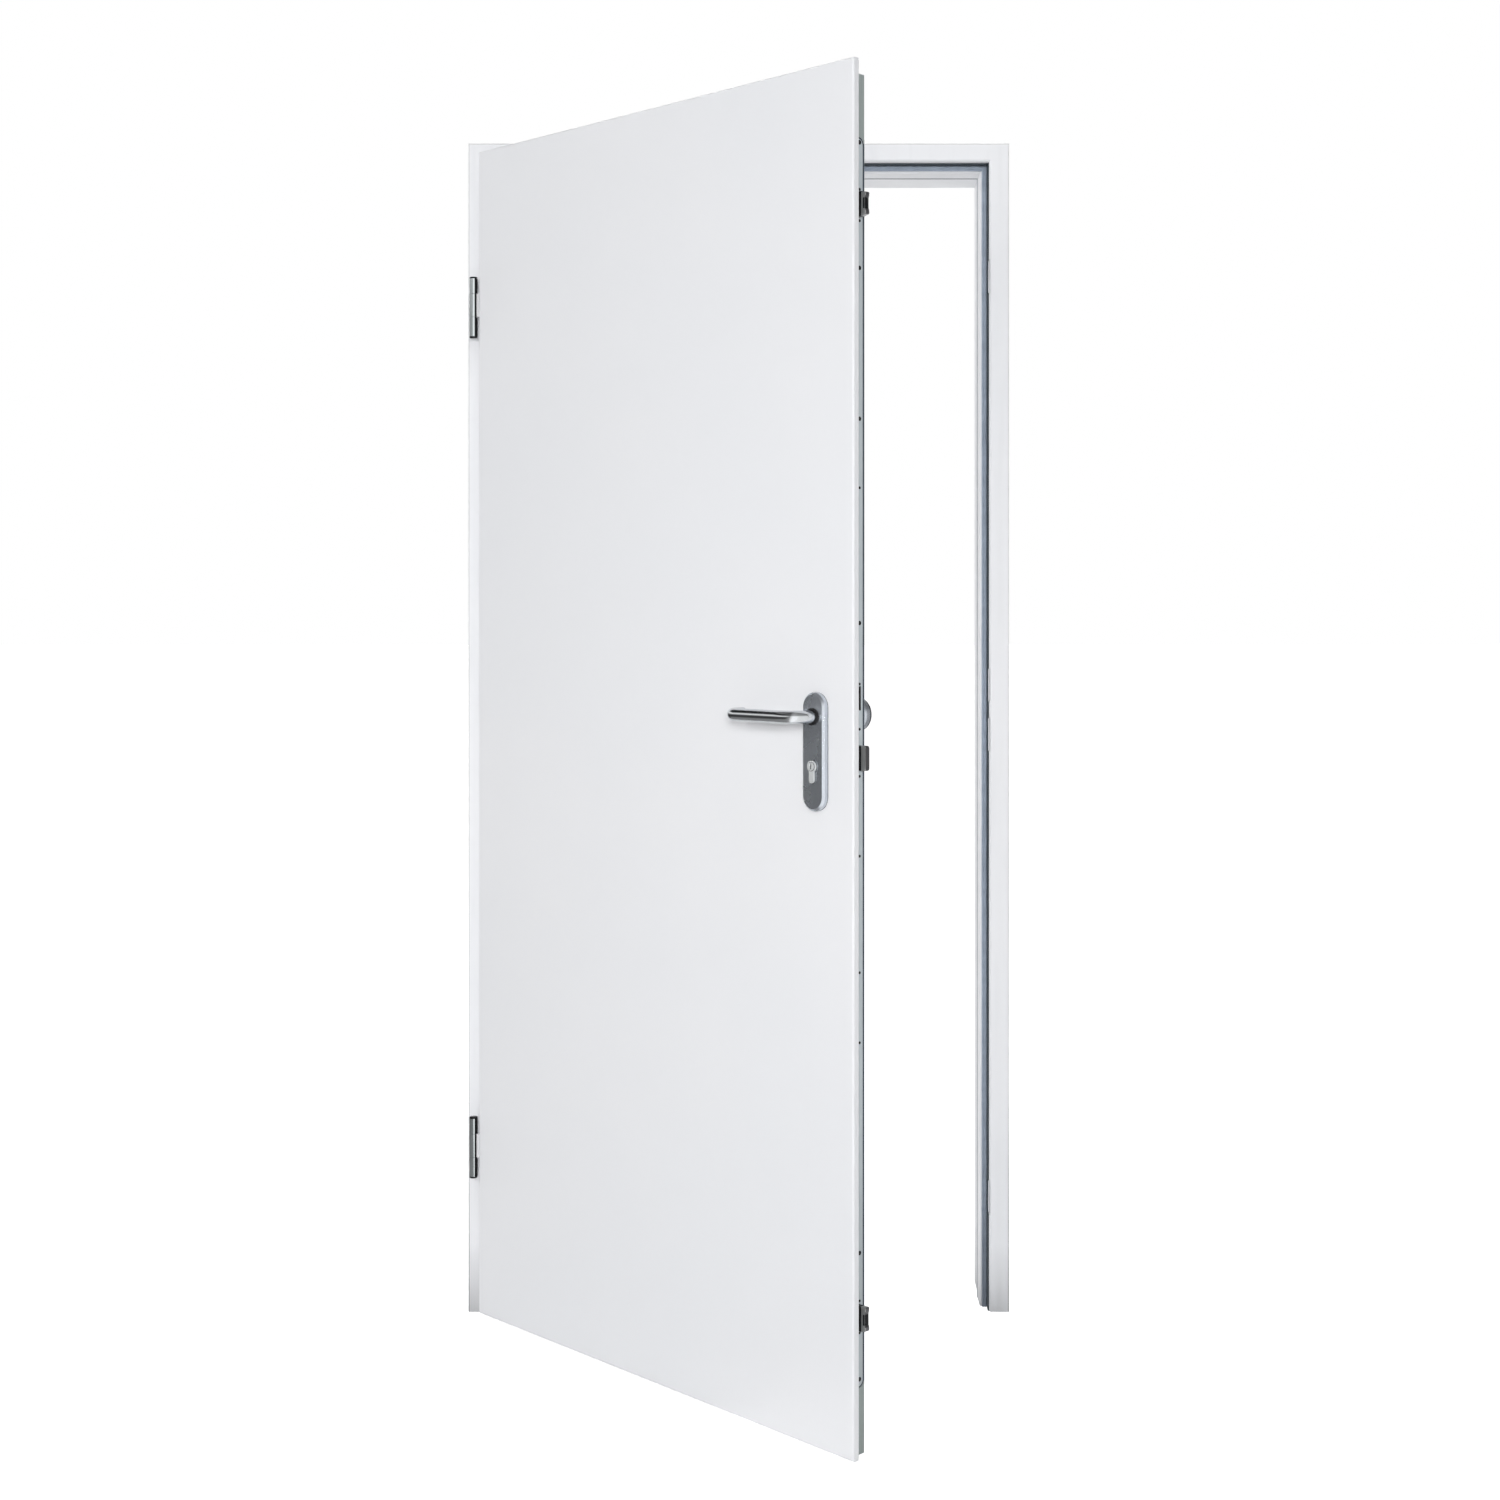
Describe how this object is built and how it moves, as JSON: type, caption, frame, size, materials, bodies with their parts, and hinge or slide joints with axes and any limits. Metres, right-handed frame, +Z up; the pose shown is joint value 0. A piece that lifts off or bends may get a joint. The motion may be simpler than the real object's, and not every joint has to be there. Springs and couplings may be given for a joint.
{
  "type": "security door",
  "caption": "Rebated white steel security door in a wrap-round steel frame, with lever, lock cylinder, far-side knob, edge bolts, knuckle hinges and rubber seal.",
  "frame": {"origin": "on the back of the hinge jamb's face sheet, where it lies on the wall, half way across its overlap with the wall, at floor level", "axes": "+X along the wall from the hinge side to the lock side, +Y into the wall, +Z up"},
  "size_m": [0.941, 0.8216, 2.033],
  "materials": {
    "white_paint": "smooth semi-matt white paint",
    "seal_rubber": "matt dark blue-grey rubber",
    "hinge_steel": "bright zinc-plated steel",
    "dark_steel": "blackened steel",
    "galvanised_steel": "galvanised, slightly blue",
    "satin_steel": "satin stainless steel",
    "polished_steel": "polished stainless steel",
    "black_plastic": "matt black",
    "nickel": "matt nickel plate",
    "bolt_steel": "dark zinc-plated steel"
  },
  "bodies": {
    "frame": {"hinge_jamb": "white_paint", "lock_jamb": "white_paint", "frame_head": "white_paint", "rear_hinge_jamb": "white_paint", "rear_lock_jamb": "white_paint", "rear_head": "white_paint", "hinge_side_seal": "seal_rubber", "lock_side_seal": "seal_rubber", "head_seal": "seal_rubber", "upper_hinge_bracket": "hinge_steel", "lower_hinge_bracket": "hinge_steel", "upper_hinge_pin": "dark_steel", "lower_hinge_pin": "dark_steel"},
    "leaf": {"leaf_front_panel": "white_paint", "leaf_back_panel": "white_paint", "lock_strip": "galvanised_steel", "latch": "dark_steel", "front_plate": "satin_steel", "rear_plate": "satin_steel", "lever_ring": "black_plastic", "lock_cylinder": "nickel", "knob": "satin_steel", "upper_hinge_knuckle": "hinge_steel", "lower_hinge_knuckle": "hinge_steel"},
    "lever": {"lever_handle": "polished_steel", "lever_spindle": "polished_steel"},
    "bolts": {"top_bolt": "bolt_steel", "main_bolt": "bolt_steel", "bottom_bolt": "bolt_steel"}
  },
  "joints": [
    {"name": "leaf_swing", "type": "hinge", "parent": "frame", "child": "leaf", "pos_m": [-0.0045, -0.021, 1], "axis": [0, 0, -1], "range_deg": [-44.7, 125.3]},
    {"name": "lever_turn", "type": "hinge", "parent": "leaf", "child": "lever", "pos_m": [0.58091, -0.61227, 1.0685], "axis": [-0.7034, -0.7108, 0], "range_deg": [0, 40], "stiffness_Nm_per_rad": 1, "springref_deg": -45.84},
    {"name": "bolt_throw", "type": "slide", "parent": "leaf", "child": "bolts", "axis": [-0.7108, 0.7034, 0], "range_m": [0, 0.018]}
  ]
}
